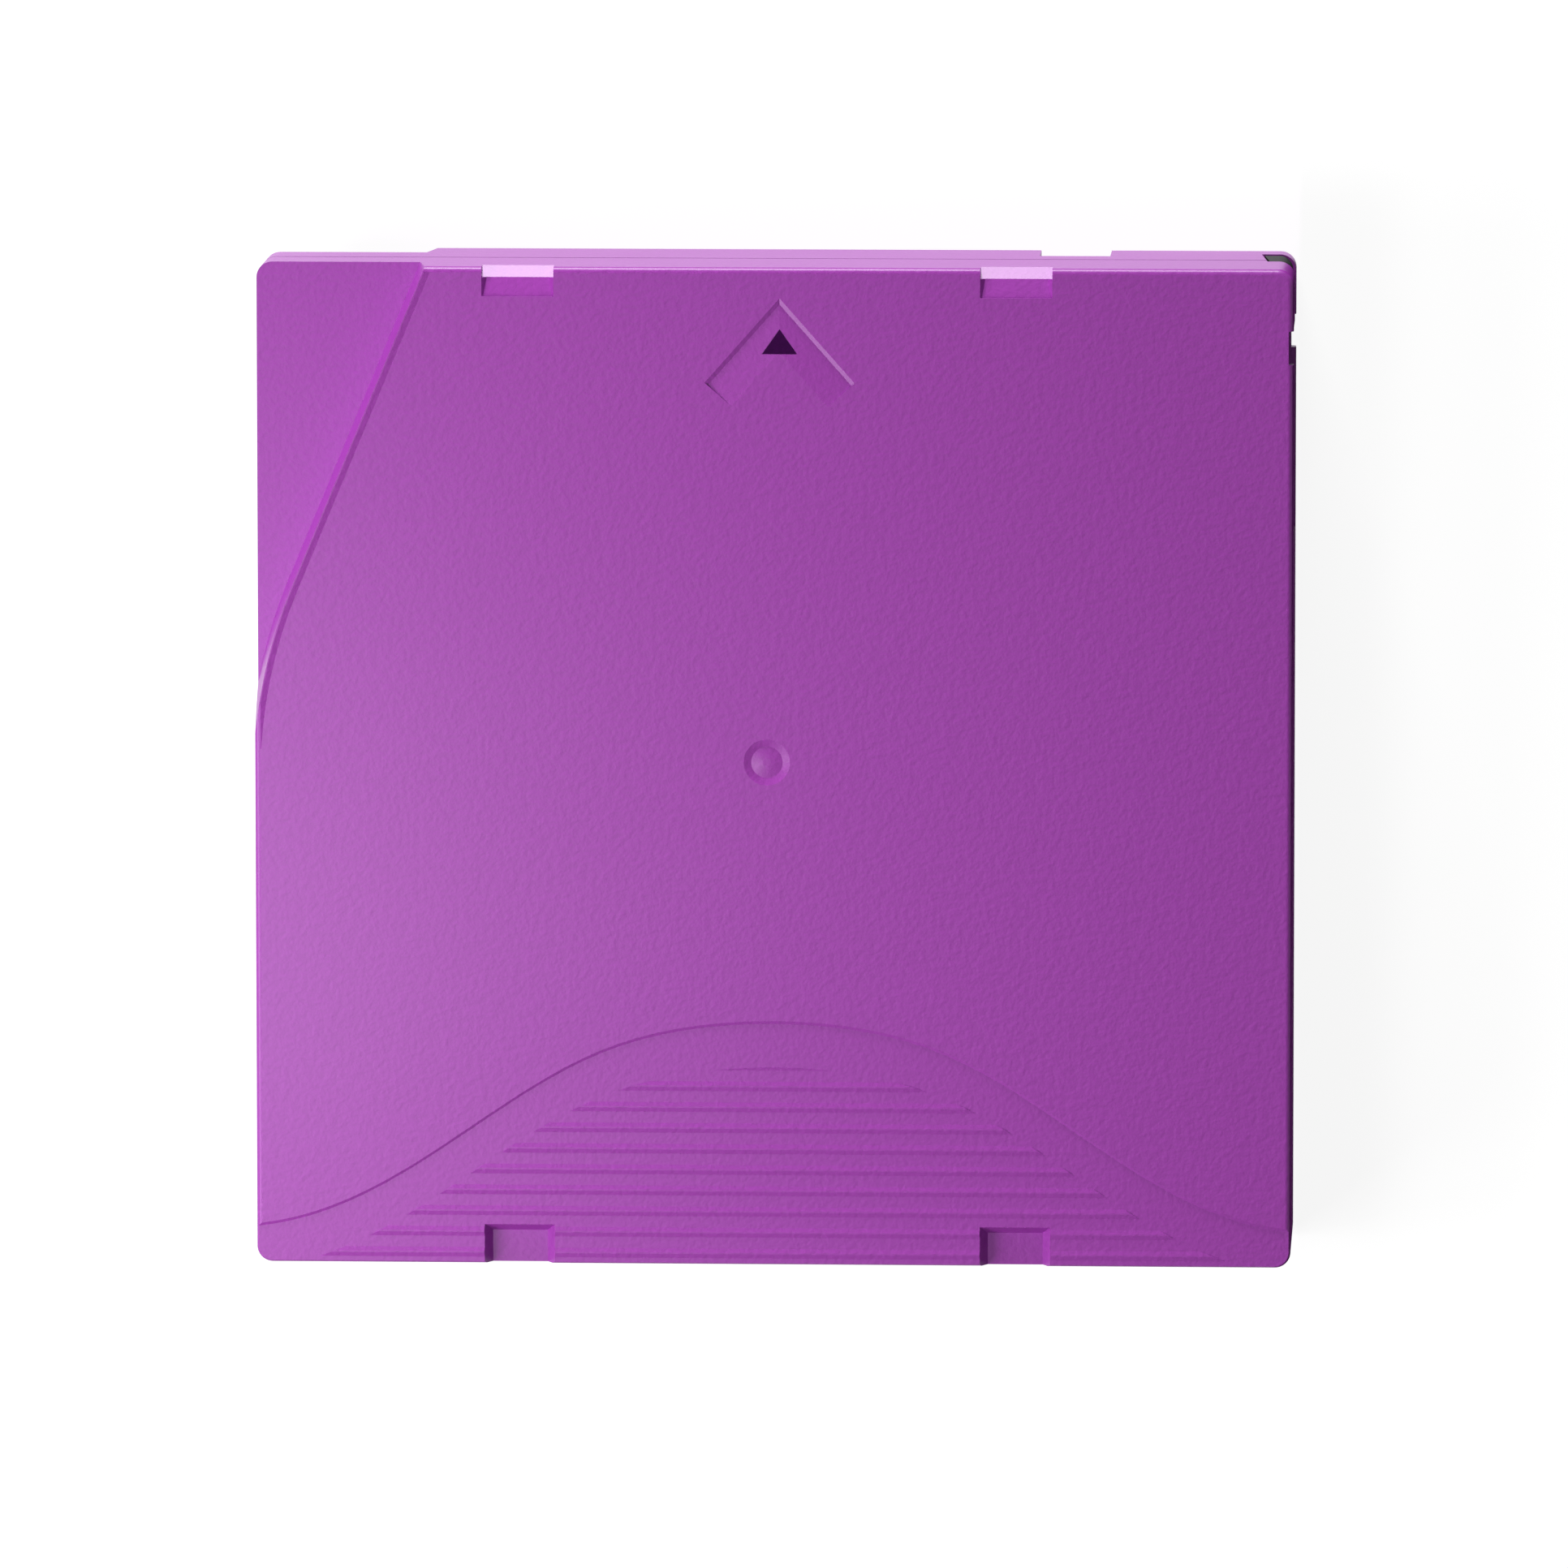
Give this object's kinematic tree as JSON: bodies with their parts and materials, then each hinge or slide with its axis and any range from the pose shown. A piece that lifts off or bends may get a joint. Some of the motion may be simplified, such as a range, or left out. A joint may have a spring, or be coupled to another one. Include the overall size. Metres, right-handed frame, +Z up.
{
  "type": "data tape cartridge",
  "caption": "Half-inch single-reel data tape cartridge with a sliding door, a toothed reel lock, a leader pin and a write-protect tab.",
  "frame": {"origin": "centre of the underside of the case", "axes": "+Y is the way the cartridge goes into a drive, +X is the door side, +Z is up through the upper case"},
  "size_m": [0.1054, 0.102, 0.0215],
  "materials": {
    "case_plastic": "fine moulded grain",
    "reel_plastic": "satin moulded",
    "flange_plastic": "satin translucent grey",
    "clutch_steel": "punched steel",
    "tape": "glossy dark film",
    "pin_steel": "turned steel",
    "clip_plastic": "smooth",
    "spring_steel": "drawn wire",
    "brake_plastic": "smooth acetal",
    "door_plastic": "satin black",
    "tab_plastic": "satin red",
    "board": "solder mask",
    "chip": "sealed resin",
    "screw_steel": "zinc plated"
  },
  "bodies": {
    "case": {"upper_case": "case_plastic", "lower_case": "case_plastic", "leader_tape": "tape", "leader_pin": "pin_steel", "leader_pin_clip": "clip_plastic", "pin_retaining_spring": "spring_steel", "brake_spring": "spring_steel", "door_spring": "spring_steel", "cartridge_memory_board": "board", "cartridge_memory_chip": "chip", "case_screw_1": "screw_steel", "case_screw_2": "screw_steel", "case_screw_3": "screw_steel", "case_screw_4": "screw_steel"},
    "reel": {"reel_hub": "reel_plastic", "reel_upper_flange": "flange_plastic", "clutch_plate": "clutch_steel", "tape_pack": "tape"},
    "brake": {"brake_button": "brake_plastic"},
    "spider": {"release_spider": "brake_plastic"},
    "door": {"door": "door_plastic"},
    "tab": {"write_protect_tab": "tab_plastic"}
  },
  "joints": [
    {"name": "reel_spin", "type": "hinge", "parent": "case", "child": "reel", "pos_m": [-0.0006, 0.0006, 0], "axis": [0, 0, 1], "continuous": true},
    {"name": "brake_lift", "type": "slide", "parent": "case", "child": "brake", "axis": [0, 0, 1], "range_m": [0, 0.0018], "stiffness_N_per_m": 400, "springref_m": -0.004, "deforming": ["brake_spring"]},
    {"name": "spider_lift", "type": "slide", "parent": "reel", "child": "spider", "axis": [0, 0, 1], "range_m": [0, 0.0018]},
    {"name": "door_slide", "type": "slide", "parent": "case", "child": "door", "axis": [0, -1, 0], "range_m": [0, 0.0215], "stiffness_N_per_m": 20, "springref_m": -0.006, "deforming": ["door_spring"]},
    {"name": "tab_slide", "type": "slide", "parent": "case", "child": "tab", "axis": [1, 0, 0], "range_m": [0, 0.004]}
  ],
  "couplings": [
    {"joint": "spider_lift", "follows": "brake_lift", "ratio": 1}
  ]
}
